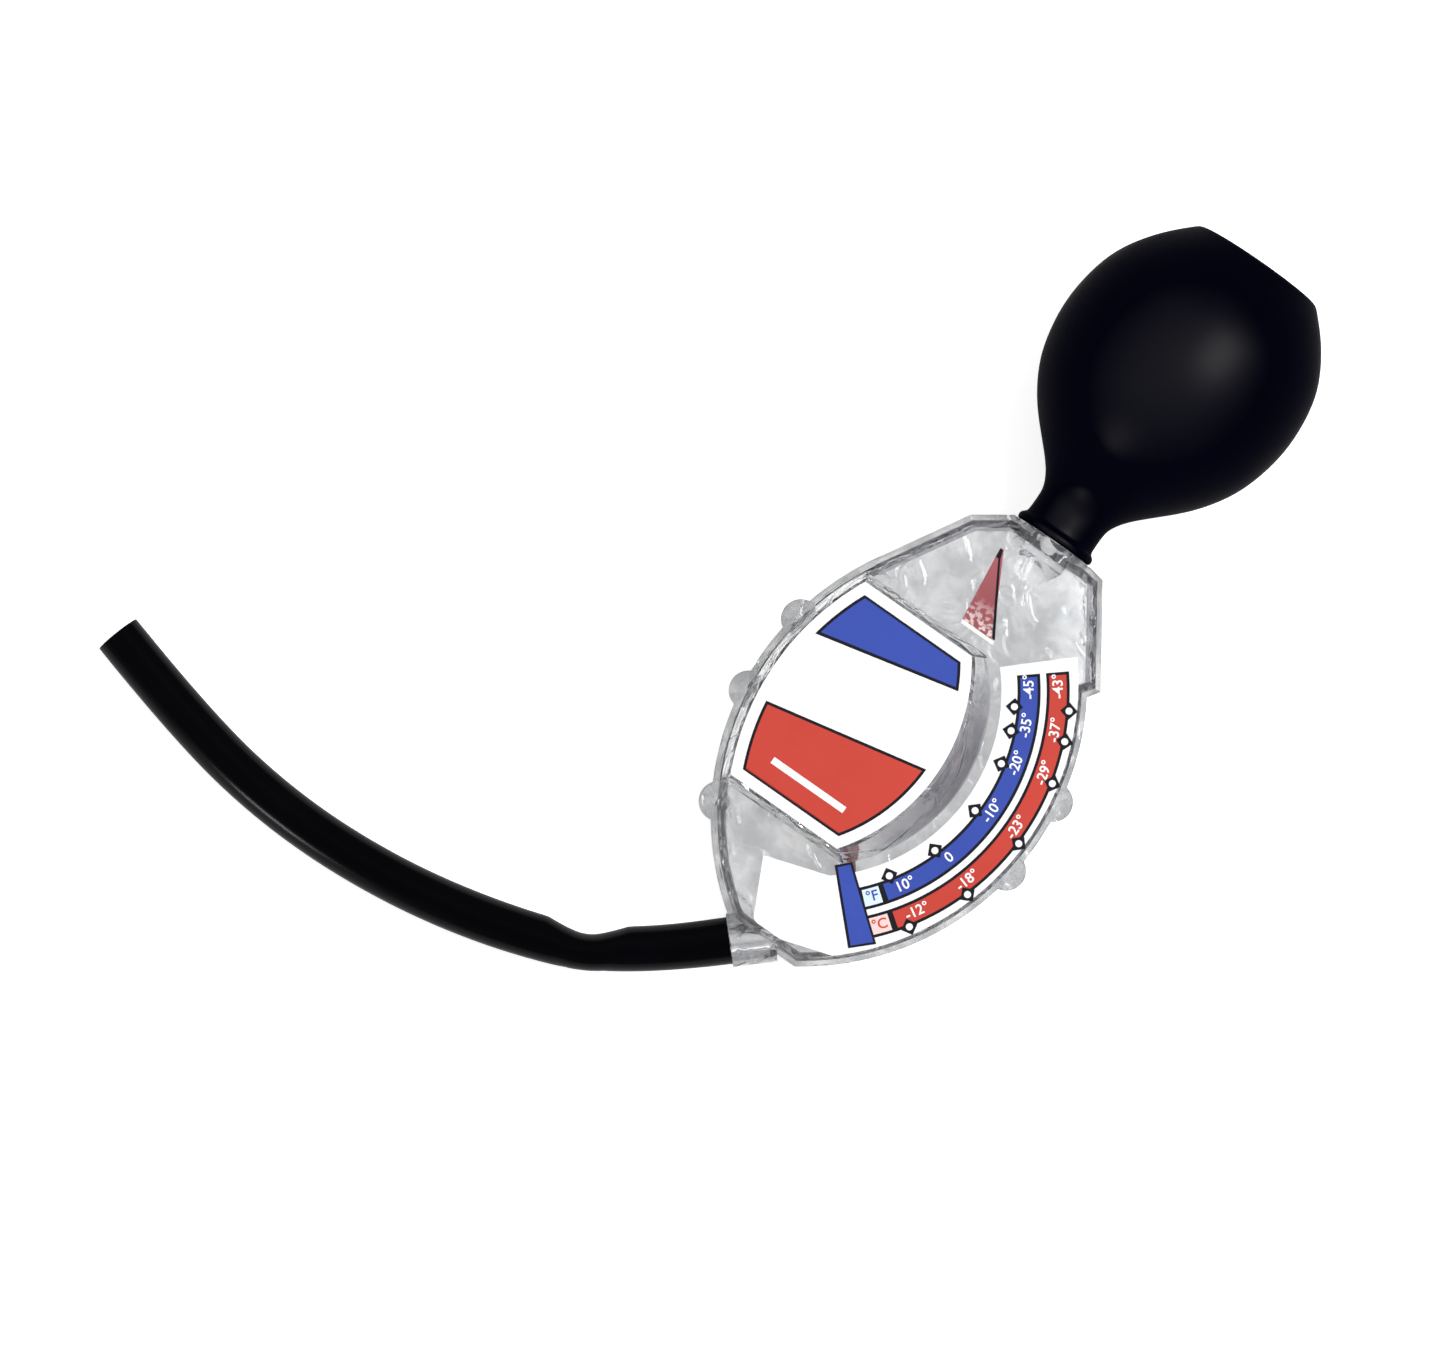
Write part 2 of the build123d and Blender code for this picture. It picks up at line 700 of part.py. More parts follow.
# Scale label: white plastic film on the deck, with a panel at its lower end
with BuildPart() as scale_label:
    scale_outer = side_radius - scale_outer_inset
    shift = pivot_x + side_centre
    top_cos = cos(radians(scale_top_angle))
    top_reach = sqrt(scale_outer**2 - (shift * sin(radians(scale_top_angle))) ** 2) - shift * top_cos
    mid_angle = (scale_top_angle + panel_angle) / 2
    panel_side_y = panel_side_gap - foot_drop
    panel_side_x = sqrt(scale_outer**2 - panel_side_y**2) - side_centre
    with BuildSketch(parting.offset(deck_height)) as scale_face:
        with BuildLine():
            ThreePointArc(
                polar_place(scale_inner_radius, panel_angle),
                polar_place(scale_inner_radius, mid_angle),
                polar_place(scale_inner_radius, scale_top_angle),
            )
            Line(polar_place(scale_inner_radius, scale_top_angle), polar_place(top_reach, scale_top_angle))
            ThreePointArc(
                polar_place(top_reach, scale_top_angle), (scale_outer - side_centre, 0), (panel_side_x, panel_side_y)
            )
            Polyline(
                (panel_side_x, panel_side_y),
                (panel_foot_right, panel_foot_gap - foot_drop),
                (-panel_foot_left, panel_foot_gap - foot_drop),
                polar_place(panel_corner_reach, panel_corner_angle),
                polar_place(scale_inner_radius, panel_angle),
            )
        make_face()
    extrude(amount=label_thickness)
    panel_edges = scale_label.edges().filter_by(Axis(parting.origin, parting.z_dir))
    fillet(panel_edges.sort_by(lambda edge: place_of(edge).Y)[:3], panel_fillet)

# Badge: white plastic film on the plateau
with BuildPart() as badge_label:
    with BuildSketch(parting.offset(plateau_height)):
        add(plateau_top(badge_margin))
    extrude(amount=label_thickness)

# Fill mark: thin red arrow on the deck, showing how full the housing has to be
with BuildPart() as fill_mark:
    with BuildSketch(parting.offset(deck_height)):
        with BuildLine():
            Polyline(
                (neck_x - mark_base_left, plateau_foot_ends + mark_gap),
                (neck_x + mark_base_right, plateau_foot_ends + mark_gap),
                (neck_x - mark_tip_aside + mark_tip_width / 2, housing_top - mark_tip_drop),
                (neck_x - mark_tip_aside - mark_tip_width / 2, housing_top - mark_tip_drop),
                close=True,
            )
        make_face()
    extrude(amount=label_thickness)

front_shell.part.label = "front_shell"
back_shell.part.label = "back_shell"
pivot_pin.part.label = "pivot_pin"
front_washer.part.label = "front_washer"
back_washer.part.label = "back_washer"
pivot_bush.part.label = "pivot_bush"
pointer_arm.part.label = "pointer_arm"
float_block.part.label = "float_block"
balance_weight.part.label = "balance_weight"
squeeze_bulb.part.label = "squeeze_bulb"
suction_hose.part.label = "suction_hose"
scale_label.part.label = "scale_label"
badge_label.part.label = "badge_label"
fill_mark.part.label = "fill_mark"

export_step(front_shell.part, "parts/front_shell.step")
export_step(back_shell.part, "parts/back_shell.step")
export_step(pivot_pin.part, "parts/pivot_pin.step")
export_step(front_washer.part, "parts/front_washer.step")
export_step(back_washer.part, "parts/back_washer.step")
export_step(pivot_bush.part, "parts/pivot_bush.step")
export_step(pointer_arm.part, "parts/pointer_arm.step")
export_step(float_block.part, "parts/float_block.step")
export_step(balance_weight.part, "parts/balance_weight.step")
export_step(squeeze_bulb.part, "parts/squeeze_bulb.step")
export_step(suction_hose.part, "parts/suction_hose.step")
export_step(scale_label.part, "parts/scale_label.step")
export_step(badge_label.part, "parts/badge_label.step")
export_step(fill_mark.part, "parts/fill_mark.step")

print("tilt", round(degrees(tilt), 3), "parting origin", [round(value, 3) for value in parting.origin])
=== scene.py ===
# Dial antifreeze tester, in metres: a clear two-part housing with a printed dial and a float pointer,
# a black rubber squeeze bulb on its neck and a black rubber suction hose on its lower spigot.
# Places on the dial are measured from the pointer's pivot, in the plane where the housing's halves meet.
import json
from math import cos, pi, radians, sin

import bpy
from mathutils import Matrix, Vector


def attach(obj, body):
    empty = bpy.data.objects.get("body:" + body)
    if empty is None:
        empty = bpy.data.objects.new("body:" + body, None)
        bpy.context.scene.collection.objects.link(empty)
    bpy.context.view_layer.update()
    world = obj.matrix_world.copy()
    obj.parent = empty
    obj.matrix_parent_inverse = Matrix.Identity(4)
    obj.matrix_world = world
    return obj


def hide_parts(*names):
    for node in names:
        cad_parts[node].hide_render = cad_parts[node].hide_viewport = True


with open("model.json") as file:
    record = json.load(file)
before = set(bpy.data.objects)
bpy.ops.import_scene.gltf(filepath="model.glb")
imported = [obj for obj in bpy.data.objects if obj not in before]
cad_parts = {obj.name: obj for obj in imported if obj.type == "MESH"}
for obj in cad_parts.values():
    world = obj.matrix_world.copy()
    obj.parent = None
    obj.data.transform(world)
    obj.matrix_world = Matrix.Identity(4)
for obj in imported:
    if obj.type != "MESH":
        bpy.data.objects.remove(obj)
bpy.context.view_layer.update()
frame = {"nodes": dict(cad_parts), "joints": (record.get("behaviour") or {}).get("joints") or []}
nodes = frame["nodes"]
mm = 0.001

# The dial's own axes, taken from the pointer's joint: +X to the right of the dial, +Y towards the bulb,
# +Z out of the dial's face. The tester lies on its back, tipped a little by its fat bulb.
swing = frame["joints"][0]
pivot = Vector(swing["pos_m"])
dial_normal = Vector(swing["axis"]).normalized()
dial_right = Vector((1, 0, 0))
dial_up = dial_normal.cross(dial_right)
dial = Matrix.Translation(pivot) @ Matrix((dial_right, dial_up, dial_normal)).transposed().to_4x4()

# Camera: straight over the dial from far off, turned so that the bulb points to the upper right.
view_distance = 1500 * mm
view_width = 289 * mm
view_turn = radians(35)
view_centre = (-16.9 * mm, -8.5 * mm)
camera = bpy.data.objects.new("camera", bpy.data.cameras.new("camera"))
bpy.context.scene.collection.objects.link(camera)
camera.data.sensor_width = 36
camera.data.lens = camera.data.sensor_width * view_distance / view_width
camera.matrix_world = (
    dial @ Matrix.Translation((*view_centre, view_distance)) @ Matrix.Rotation(view_turn, 4, "Z")
)
bpy.context.scene.camera = camera

# Suction hose: plain black rubber hose, 3/8 in outside with a 1/4 in bore, pushed over the lower spigot.
# It comes down from the spigot and lies on the table in one lazy bend, and ends cut off square.
hose_route = (
    (-46.1, -104.9, 4.95),
    (-69.8, -109.6, 4.78),
    (-94.0, -110.5, 4.76),
    (-118.0, -107.0, 4.76),
    (-141.2, -100.3, 4.76),
)
hose_mouth_offset = Vector((14.4 * mm, -50.77 * mm, 0))
hose_angle = radians(223)
hose_first_run = 23.8 * mm
hose_radius = 4.75 * mm
hose_wall = 1.55 * mm
hose_pinch = 0.93
hose_kink = Vector((-9.9 * mm, -66.0 * mm, 0))
hose_kink_pick = 1.2 * mm
hose_kink_depth = 2.3 * mm
hose_kink_reach = 8 * mm
hose_kink_way = dial_right * 0.57 - dial_up * 0.82
hose_start = dial @ hose_mouth_offset
hose_out = (dial_right * cos(hose_angle) + dial_up * sin(hose_angle)).normalized()
hose_points = [hose_start, hose_start + hose_out * hose_first_run]
hose_points += [Vector(place) * mm for place in hose_route]


def only(piece):
    """Selects this piece alone and makes it the active one."""
    bpy.ops.object.select_all(action="DESELECT")
    bpy.context.view_layer.objects.active = piece
    piece.select_set(True)


def apply_all(piece):
    """Applies every modifier on the piece, first to last."""
    only(piece)
    for modifier in list(piece.modifiers):
        bpy.ops.object.modifier_apply(modifier=modifier.name)


# Moulded grain, shared by every material: a fine grain for the bump and broad smudges for the roughness.
grain = bpy.data.node_groups.new("moulded_grain", "ShaderNodeTree")
for socket, kind in (
    ("Vector", "NodeSocketVector"),
    ("Grain Scale", "NodeSocketFloat"),
    ("Smudge Scale", "NodeSocketFloat"),
    ("Roughness Low", "NodeSocketFloat"),
    ("Roughness High", "NodeSocketFloat"),
    ("Bump", "NodeSocketFloat"),
    ("Bump Depth", "NodeSocketFloat"),
):
    grain.interface.new_socket(socket, in_out="INPUT", socket_type=kind)
for socket, kind in (
    ("Mask", "NodeSocketFloat"),
    ("Roughness", "NodeSocketFloat"),
    ("Normal", "NodeSocketVector"),
):
    grain.interface.new_socket(socket, in_out="OUTPUT", socket_type=kind)
grain_in = grain.nodes.new("NodeGroupInput")
grain_out = grain.nodes.new("NodeGroupOutput")
fine = grain.nodes.new("ShaderNodeTexNoise")
fine.inputs["Detail"].default_value = 4
broad = grain.nodes.new("ShaderNodeTexNoise")
broad.inputs["Detail"].default_value = 3
broad.inputs["Roughness"].default_value = 0.6
smudge = grain.nodes.new("ShaderNodeMapRange")
smudge.inputs["From Min"].default_value = 0.35
smudge.inputs["From Max"].default_value = 0.7
bump = grain.nodes.new("ShaderNodeBump")
for source, target in (
    (grain_in.outputs["Vector"], fine.inputs["Vector"]),
    (grain_in.outputs["Vector"], broad.inputs["Vector"]),
    (grain_in.outputs["Grain Scale"], fine.inputs["Scale"]),
    (grain_in.outputs["Smudge Scale"], broad.inputs["Scale"]),
    (broad.outputs["Fac"], smudge.inputs["Value"]),
    (grain_in.outputs["Roughness Low"], smudge.inputs["To Min"]),
    (grain_in.outputs["Roughness High"], smudge.inputs["To Max"]),
    (fine.outputs["Fac"], bump.inputs["Height"]),
    (grain_in.outputs["Bump"], bump.inputs["Strength"]),
    (grain_in.outputs["Bump Depth"], bump.inputs["Distance"]),
    (broad.outputs["Fac"], grain_out.inputs["Mask"]),
    (smudge.outputs["Result"], grain_out.inputs["Roughness"]),
    (bump.outputs["Normal"], grain_out.inputs["Normal"]),
):
    grain.links.new(source, target)


def moulded(
    name, dark, light, roughness, bump=0.2, grain_scale=1500, smudge_scale=60, depth=0.05 * mm, **constants
):
    """A material whose colour drifts between two tones, with moulded grain and smudged gloss."""
    material = bpy.data.materials.new(name)
    material.use_nodes = True
    tree = material.node_tree
    shader = tree.nodes["Principled BSDF"]
    place = tree.nodes.new("ShaderNodeTexCoord")
    surface = tree.nodes.new("ShaderNodeGroup")
    surface.node_tree = grain
    tone = tree.nodes.new("ShaderNodeMix")
    tone.data_type = "RGBA"
    tone.inputs["A"].default_value = (*dark, 1)
    tone.inputs["B"].default_value = (*light, 1)
    for socket, value in (
        ("Grain Scale", grain_scale),
        ("Smudge Scale", smudge_scale),
        ("Roughness Low", roughness[0]),
        ("Roughness High", roughness[1]),
        ("Bump", bump),
        ("Bump Depth", depth),
    ):
        surface.inputs[socket].default_value = value
    for socket, value in constants.items():
        shader.inputs[socket.replace("_", " ")].default_value = value
    tree.links.new(place.outputs["Object"], surface.inputs["Vector"])
    tree.links.new(surface.outputs["Mask"], tone.inputs["Factor"])
    tree.links.new(tone.outputs["Result"], shader.inputs["Base Color"])
    tree.links.new(surface.outputs["Roughness"], shader.inputs["Roughness"])
    tree.links.new(surface.outputs["Normal"], shader.inputs["Normal"])
    return material


def wears(piece, material):
    """Gives a piece this one material."""
    piece.data.materials.clear()
    piece.data.materials.append(material)


def sheen_fades(material, face_on, turned, reach):
    """A soft coat on rubber, of one strength face on and another where the surface turns away."""
    tree = material.node_tree
    turning = tree.nodes.new("ShaderNodeLayerWeight")
    fade = tree.nodes.new("ShaderNodeMapRange")
    fade.inputs["From Max"].default_value = reach
    fade.inputs["To Min"].default_value = face_on
    fade.inputs["To Max"].default_value = turned
    tree.links.new(turning.outputs["Facing"], fade.inputs["Value"])
    tree.links.new(fade.outputs["Result"], tree.nodes["Principled BSDF"].inputs["Coat Weight"])


hose_rubber = moulded(
    "hose_rubber", (0.0003, 0.0003, 0.0008), (0.0010, 0.0010, 0.0020), (0.30, 0.44), bump=0.35,
    grain_scale=1800, smudge_scale=90, IOR=1.25, Specular_IOR_Level=0.02, Coat_Roughness=0.2,
)
sheen_fades(hose_rubber, 0.03, 0.15, 0.5)
hose_line = bpy.data.curves.new("hose_line", "CURVE")
hose_line.dimensions = "3D"
route = hose_line.splines.new("NURBS")
route.points.add(len(hose_points) - 1)
for point, place in zip(route.points, hose_points):
    point.co = (*place, 1)
route.points[1].radius = hose_pinch
route.order_u = 3
route.use_endpoint_u = True
route.resolution_u = 24
hose_guide = bpy.data.objects.new("hose_guide", hose_line)
bpy.context.scene.collection.objects.link(hose_guide)
bare_line = bpy.data.meshes.new_from_object(hose_guide)
bpy.data.meshes.remove(bare_line)
hose_line.bevel_depth = hose_radius
hose_line.bevel_resolution = 14
only(hose_guide)
bpy.ops.object.convert(target="MESH")
hose = bpy.context.object
hose.name = "rubber_hose"
hose.data.name = "rubber_hose"
bore = hose.modifiers.new("bore", "SOLIDIFY")
bore.thickness = hose_wall
bore.offset = -1
apply_all(hose)
bpy.ops.object.mode_set(mode="EDIT")
bpy.ops.mesh.select_all(action="SELECT")
bpy.ops.mesh.remove_doubles(threshold=0.01 * mm)
bpy.ops.mesh.normals_make_consistent(inside=False)
bpy.ops.mesh.select_mode(type="VERT")
bpy.ops.mesh.select_all(action="DESELECT")
bpy.ops.object.mode_set(mode="OBJECT")
kink_place = dial @ hose_kink
for vertex in hose.data.vertices:
    vertex.select = (vertex.co - kink_place).length < hose_kink_pick
bpy.ops.object.mode_set(mode="EDIT")
bpy.ops.transform.translate(
    value=hose_kink_way * hose_kink_depth,
    use_proportional_edit=True,
    proportional_edit_falloff="LINEAR",
    proportional_size=hose_kink_reach,
)
bpy.ops.object.mode_set(mode="OBJECT")
bpy.ops.object.shade_smooth_by_angle(angle=radians(40))
wears(hose, hose_rubber)
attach(hose, "housing")
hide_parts("suction_hose")

# Table and studio: a white table top that glows a little, so shadows stay faint. One soft light stands to the
# upper right of the picture, a broad weak one opposite and a small low one in front. The pale room is darker
# near its floor, so the clear plastic shows its edges.
bpy.ops.mesh.primitive_plane_add(size=6)
table = bpy.context.object
table.name = "table"
table_top = moulded(
    "table_top", (0.90, 0.90, 0.90), (0.94, 0.94, 0.94), (0.55, 0.7), bump=0.05, smudge_scale=8,
    Emission_Strength=0.62,
)
table_top.node_tree.nodes["Principled BSDF"].inputs["Emission Color"].default_value = (1, 1, 1, 1)
wears(table, table_top)
for name, place, size, power in (
    ("key_light", (0.66, 0.52, 1.80), 1.0, 25),
    ("fill_light", (-1.1, -0.2, 1.5), 2.6, 6),
    ("low_light", (-0.3, -2.1, 0.35), 0.35, 18),
):
    light = bpy.data.objects.new(name, bpy.data.lights.new(name, "AREA"))
    bpy.context.scene.collection.objects.link(light)
    light.data.shape = "DISK"
    light.data.size = size
    light.data.energy = power
    light.location = place
    light.rotation_euler = (-Vector(place)).to_track_quat("-Z", "Y").to_euler()
room = bpy.data.worlds.new("room")
bpy.context.scene.world = room
room.use_nodes = True
room_strength = 0.6
floor_tone = (0.30, 0.31, 0.32, 1)
sky_tone = (1, 1, 1, 1)
sky = room.node_tree.nodes["Background"]
sky.inputs["Strength"].default_value = room_strength
room_place = room.node_tree.nodes.new("ShaderNodeTexCoord")
room_height = room.node_tree.nodes.new("ShaderNodeSeparateXYZ")
room_tone = room.node_tree.nodes.new("ShaderNodeValToRGB")
room_tone.color_ramp.elements[0].position = 0.05
room_tone.color_ramp.elements[0].color = floor_tone
room_tone.color_ramp.elements[1].position = 0.75
room_tone.color_ramp.elements[1].color = sky_tone
room.node_tree.links.new(room_place.outputs["Generated"], room_height.inputs["Vector"])
room.node_tree.links.new(room_height.outputs["Z"], room_tone.inputs["Fac"])
room.node_tree.links.new(room_tone.outputs["Color"], sky.inputs["Color"])
bpy.context.scene.view_settings.view_transform = "Standard"

# Housing: two clear styrene mouldings glued at their flanges. The plastic is faintly smoky, the more so the
# thicker it is. Its flats are polished and have the odd flow line. Its sloping walls get painted shade: grey
# bands round the deck and the plateau, painted into the base colour.
mottle_from, mottle_to = 0.42, 0.58
flow_line_scale = 75
flow_line_sway = 1.2
flow_line_breadth = 0.075
flow_line_height = 0.12 * mm
# The grey of the painted shade on the sloping walls.
slope_shade_tone = (0.35, 0.34, 0.37, 1)
slope_start, slope_full, slope_end = 0.55, 0.72, 0.97
depth_tone = (0.50, 0.51, 0.53, 1)
depth_density = 50
clear_plastic = moulded(
    "clear_plastic", (0.79, 0.80, 0.81), (0.955, 0.955, 0.955), (0.02, 0.10), bump=1.0, grain_scale=190,
    smudge_scale=150, depth=0.2 * mm, IOR=1.49, Transmission_Weight=0.95,
)
tree = clear_plastic.node_tree
shader = tree.nodes["Principled BSDF"]
tone = next(node for node in tree.nodes if node.bl_idname == "ShaderNodeMix")
surface = next(node for node in tree.nodes if node.bl_idname == "ShaderNodeGroup")
mottle = tree.nodes.new("ShaderNodeMapRange")
mottle.inputs["From Min"].default_value = mottle_from
mottle.inputs["From Max"].default_value = mottle_to
tree.links.new(surface.outputs["Mask"], mottle.inputs["Value"])
tree.links.new(mottle.outputs["Result"], tone.inputs["Factor"])
flow = tree.nodes.new("ShaderNodeTexNoise")
flow.inputs["Scale"].default_value = flow_line_scale
flow.inputs["Detail"].default_value = 1
flow.inputs["Distortion"].default_value = flow_line_sway
flow_side = tree.nodes.new("ShaderNodeMath")
flow_side.operation = "SUBTRACT"
flow_side.inputs[1].default_value = 0.5
flow_far = tree.nodes.new("ShaderNodeMath")
flow_far.operation = "ABSOLUTE"
flow_crest = tree.nodes.new("ShaderNodeMapRange")
flow_crest.interpolation_type = "SMOOTHSTEP"
flow_crest.inputs["From Max"].default_value = flow_line_breadth
flow_crest.inputs["To Min"].default_value = 1
flow_crest.inputs["To Max"].default_value = 0
flow_bump = tree.nodes.new("ShaderNodeBump")
flow_bump.inputs["Strength"].default_value = 1
flow_bump.inputs["Distance"].default_value = flow_line_height
place = next(node for node in tree.nodes if node.bl_idname == "ShaderNodeTexCoord")
tree.links.new(place.outputs["Object"], flow.inputs["Vector"])
tree.links.new(flow.outputs["Fac"], flow_side.inputs[0])
tree.links.new(flow_side.outputs["Value"], flow_far.inputs[0])
tree.links.new(flow_far.outputs["Value"], flow_crest.inputs["Value"])
tree.links.new(flow_crest.outputs["Result"], flow_bump.inputs["Height"])
tree.links.new(surface.outputs["Normal"], flow_bump.inputs["Normal"])
tree.links.new(flow_bump.outputs["Normal"], shader.inputs["Normal"])
facing = tree.nodes.new("ShaderNodeNewGeometry")
lean = tree.nodes.new("ShaderNodeVectorMath")
lean.operation = "DOT_PRODUCT"
lean.inputs[1].default_value = dial_normal
slope = tree.nodes.new("ShaderNodeMath")
slope.operation = "ABSOLUTE"
slope_band = tree.nodes.new("ShaderNodeValToRGB")
slope_band.color_ramp.elements[0].position = slope_start
slope_band.color_ramp.elements[0].color = (0, 0, 0, 1)
slope_band.color_ramp.elements[1].position = slope_end
slope_band.color_ramp.elements[1].color = (0, 0, 0, 1)
sloping = slope_band.color_ramp.elements.new(slope_full)
sloping.color = (1, 1, 1, 1)
# Painted shade: faces that slope against the dial's face take a darker grey in the base colour.
slope_shade = tree.nodes.new("ShaderNodeMix")
slope_shade.data_type = "RGBA"
slope_shade.inputs["B"].default_value = slope_shade_tone
tree.links.new(facing.outputs["True Normal"], lean.inputs[0])
tree.links.new(lean.outputs["Value"], slope.inputs[0])
tree.links.new(slope.outputs["Value"], slope_band.inputs["Fac"])
tree.links.new(slope_band.outputs["Color"], slope_shade.inputs["Factor"])
tree.links.new(tone.outputs["Result"], slope_shade.inputs["A"])
tree.links.new(slope_shade.outputs["Result"], shader.inputs["Base Color"])
depth_tint = tree.nodes.new("ShaderNodeVolumeAbsorption")
depth_tint.inputs["Color"].default_value = depth_tone
depth_tint.inputs["Density"].default_value = depth_density
tree.links.new(depth_tint.outputs["Volume"], tree.nodes["Material Output"].inputs["Volume"])
for name in ("front_shell", "back_shell"):
    wears(nodes[name], clear_plastic)

# Squeeze bulb: dipped black rubber, pear-shaped with a flat end. It leans a little to the right and is a
# little broader than it is deep. Its straight neck has a rolled rim and grips the spigot by its own stretch.
bulb_rubber = moulded(
    "bulb_rubber", (0.0003, 0.0003, 0.0022), (0.0012, 0.0012, 0.0052), (0.42, 0.54), bump=0.5,
    grain_scale=1300, smudge_scale=45, IOR=1.25, Specular_IOR_Level=0.01, Coat_Roughness=0.4,
)
sheen_fades(bulb_rubber, 0.23, 0.0, 0.21)
bulb_foot = Vector((21.6 * mm, 51.6 * mm, 0))
bulb_turns = 64
bulb_mouth = 5.4 * mm
bulb_lean_foot = 8 * mm
bulb_lean = 2.0 / 61
bulb_broaden = 1.02
bulb_plug_height = 10.4 * mm
bulb_rim = ((5.4, 0.0), (8.2, 0.0), (8.6, 0.4), (8.65, 1.2), (8.3, 1.8), (7.6, 2.2))
bulb_neck = ((7.5, 3.4), (7.5, 6.4), (7.65, 7.9), (8.5, 9.8), (10.1, 12.2))
bulb_belly = (
    (14.3, 16.4), (18.6, 20.8), (22.1, 26.0), (24.4, 31.0), (26.0, 38.2), (26.25, 44.6), (25.2, 52.2),
    (23.0, 57.6), (19.5, 62.8), (16.6, 66.0),
)
bulb_end = ((14.9, 67.7), (14.3, 68.3), (13.7, 68.7), (12.6, 68.8), (6.0, 68.8))
bpy.ops.object.select_all(action="DESELECT")
bpy.ops.mesh.primitive_circle_add(
    vertices=bulb_turns, radius=bulb_mouth, fill_type="NGON", location=(0, 0, bulb_plug_height)
)
bulb = bpy.context.object
bulb.name = "rubber_bulb"
bulb.data.name = "rubber_bulb"
bpy.ops.object.transform_apply(location=True)
bpy.ops.object.mode_set(mode="EDIT")
bpy.ops.mesh.select_mode(type="EDGE")
bpy.ops.mesh.select_all(action="SELECT")
ring_radius, ring_height, ring_shift = bulb_mouth, bulb_plug_height, 0
for radius, height in bulb_rim + bulb_neck + bulb_belly + bulb_end:
    grow = radius * mm / ring_radius
    shift = max(height * mm - bulb_lean_foot, 0) * bulb_lean
    step = (shift - ring_shift, 0, height * mm - ring_height)
    bpy.ops.mesh.extrude_edges_move(TRANSFORM_OT_translate={"value": step})
    bpy.ops.transform.resize(value=(grow, grow, 1), center_override=(shift, 0, 0))
    ring_radius, ring_height, ring_shift = radius * mm, height * mm, shift
bpy.ops.mesh.edge_face_add()
bpy.ops.mesh.select_all(action="SELECT")
bpy.ops.transform.resize(value=(bulb_broaden, 1, 1), center_override=(0, 0, 0))
bpy.ops.mesh.remove_doubles(threshold=0.01 * mm)
bpy.ops.mesh.normals_make_consistent(inside=False)
bpy.ops.object.mode_set(mode="OBJECT")
rounding = bulb.modifiers.new("rounding", "SUBSURF")
rounding.levels = 2
rounding.render_levels = 2
apply_all(bulb)
bpy.ops.object.shade_smooth()
bulb.data.transform(dial @ Matrix.Translation(bulb_foot) @ Matrix.Rotation(-pi / 2, 4, "X"))
wears(bulb, bulb_rubber)
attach(bulb, "housing")
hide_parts("squeeze_bulb")

# Pointer: one red moulding that swings on a steel pin, with an off-white float staked under it, a turned
# brass slug pressed into its short end and a brass bush in its hub, between two thin white washers.
red_moulding = moulded(
    "red_moulding", (0.34, 0.008, 0.014), (0.46, 0.016, 0.024), (0.28, 0.4), bump=0.15, grain_scale=900,
    Coat_Weight=0.2,
)
float_foam = moulded(
    "float_foam", (0.72, 0.70, 0.64), (0.82, 0.80, 0.75), (0.5, 0.7), bump=0.6, grain_scale=2200
)
turned_brass = moulded(
    "turned_brass", (0.60, 0.42, 0.16), (0.74, 0.55, 0.25), (0.2, 0.38), bump=0.2, grain_scale=3000,
    Metallic=1.0,
)
ground_steel = moulded(
    "ground_steel", (0.50, 0.51, 0.53), (0.62, 0.63, 0.65), (0.18, 0.32), bump=0.15, grain_scale=4000,
    Metallic=1.0,
)
white_nylon = moulded(
    "white_nylon", (0.78, 0.78, 0.75), (0.86, 0.86, 0.84), (0.35, 0.5), bump=0.2, grain_scale=1800
)
for name, material in (
    ("pointer_arm", red_moulding),
    ("float_block", float_foam),
    ("balance_weight", turned_brass),
    ("pivot_bush", turned_brass),
    ("pivot_pin", ground_steel),
    ("front_washer", white_nylon),
    ("back_washer", white_nylon),
):
    wears(nodes[name], material)

# Scale label: white plastic film stuck to the deck round the plateau, printed with two curved bands,
# blue for degrees Fahrenheit and red for degrees Celsius, in flat inks with black outlines.
label_film = moulded(
    "label_film", (0.90, 0.90, 0.90), (0.95, 0.95, 0.95), (0.25, 0.38), bump=0.08, grain_scale=700
)
for name in ("scale_label", "badge_label"):
    wears(nodes[name], label_film)


def printed_ink(name, dark, light, roughness=(0.3, 0.42), **constants):
    """A flat ink, with the film's faint tooth."""
    return moulded(name, dark, light, roughness, bump=0.12, grain_scale=2500, **constants)


blue_ink = printed_ink(
    "blue_ink", (0.022, 0.050, 0.33), (0.036, 0.076, 0.41), (0.42, 0.58), Specular_IOR_Level=0.25
)
red_ink = printed_ink(
    "red_ink", (0.47, 0.036, 0.022), (0.58, 0.054, 0.034), (0.42, 0.58), Specular_IOR_Level=0.25
)
black_ink = printed_ink(
    "black_ink", (0.002, 0.002, 0.005), (0.006, 0.006, 0.012), (0.45, 0.6), Specular_IOR_Level=0.15
)
white_ink = printed_ink("white_ink", (0.86, 0.86, 0.87), (0.93, 0.93, 0.93))
pale_blue_ink = printed_ink("pale_blue_ink", (0.60, 0.74, 0.84), (0.68, 0.80, 0.88))
pale_red_ink = printed_ink("pale_red_ink", (0.84, 0.56, 0.52), (0.90, 0.64, 0.60))
ink = 0.03 * mm
outline = 0.6 * mm
deck_print = 7.25 * mm
blue_band = (40.0 * mm, 44.6 * mm)
red_band = (45.8 * mm, 50.4 * mm)
band_top = 39.5
band_foot = -36.7
cell_foot = -43.0
mark_angles = (-33.5, -18.4, -2.0, 13.6, 23.5, 30.5)
mark_half = 1.75 * mm
mark_eye = 0.70 * mm
mark_eye_sides = 24
blue_mark_reach = 39.5 * mm
red_mark_reach = 50.4 * mm
figure_size = 2.9 * mm
figure_swell = 0.04 * mm
figure_print = deck_print + 2 * ink
figure_angles = (-30.4, -16.4, 0.8, 15.3, 25.8, 36.2)
fahrenheit = ("10°", "0", "-10°", "-20°", "-35°", "-45°")
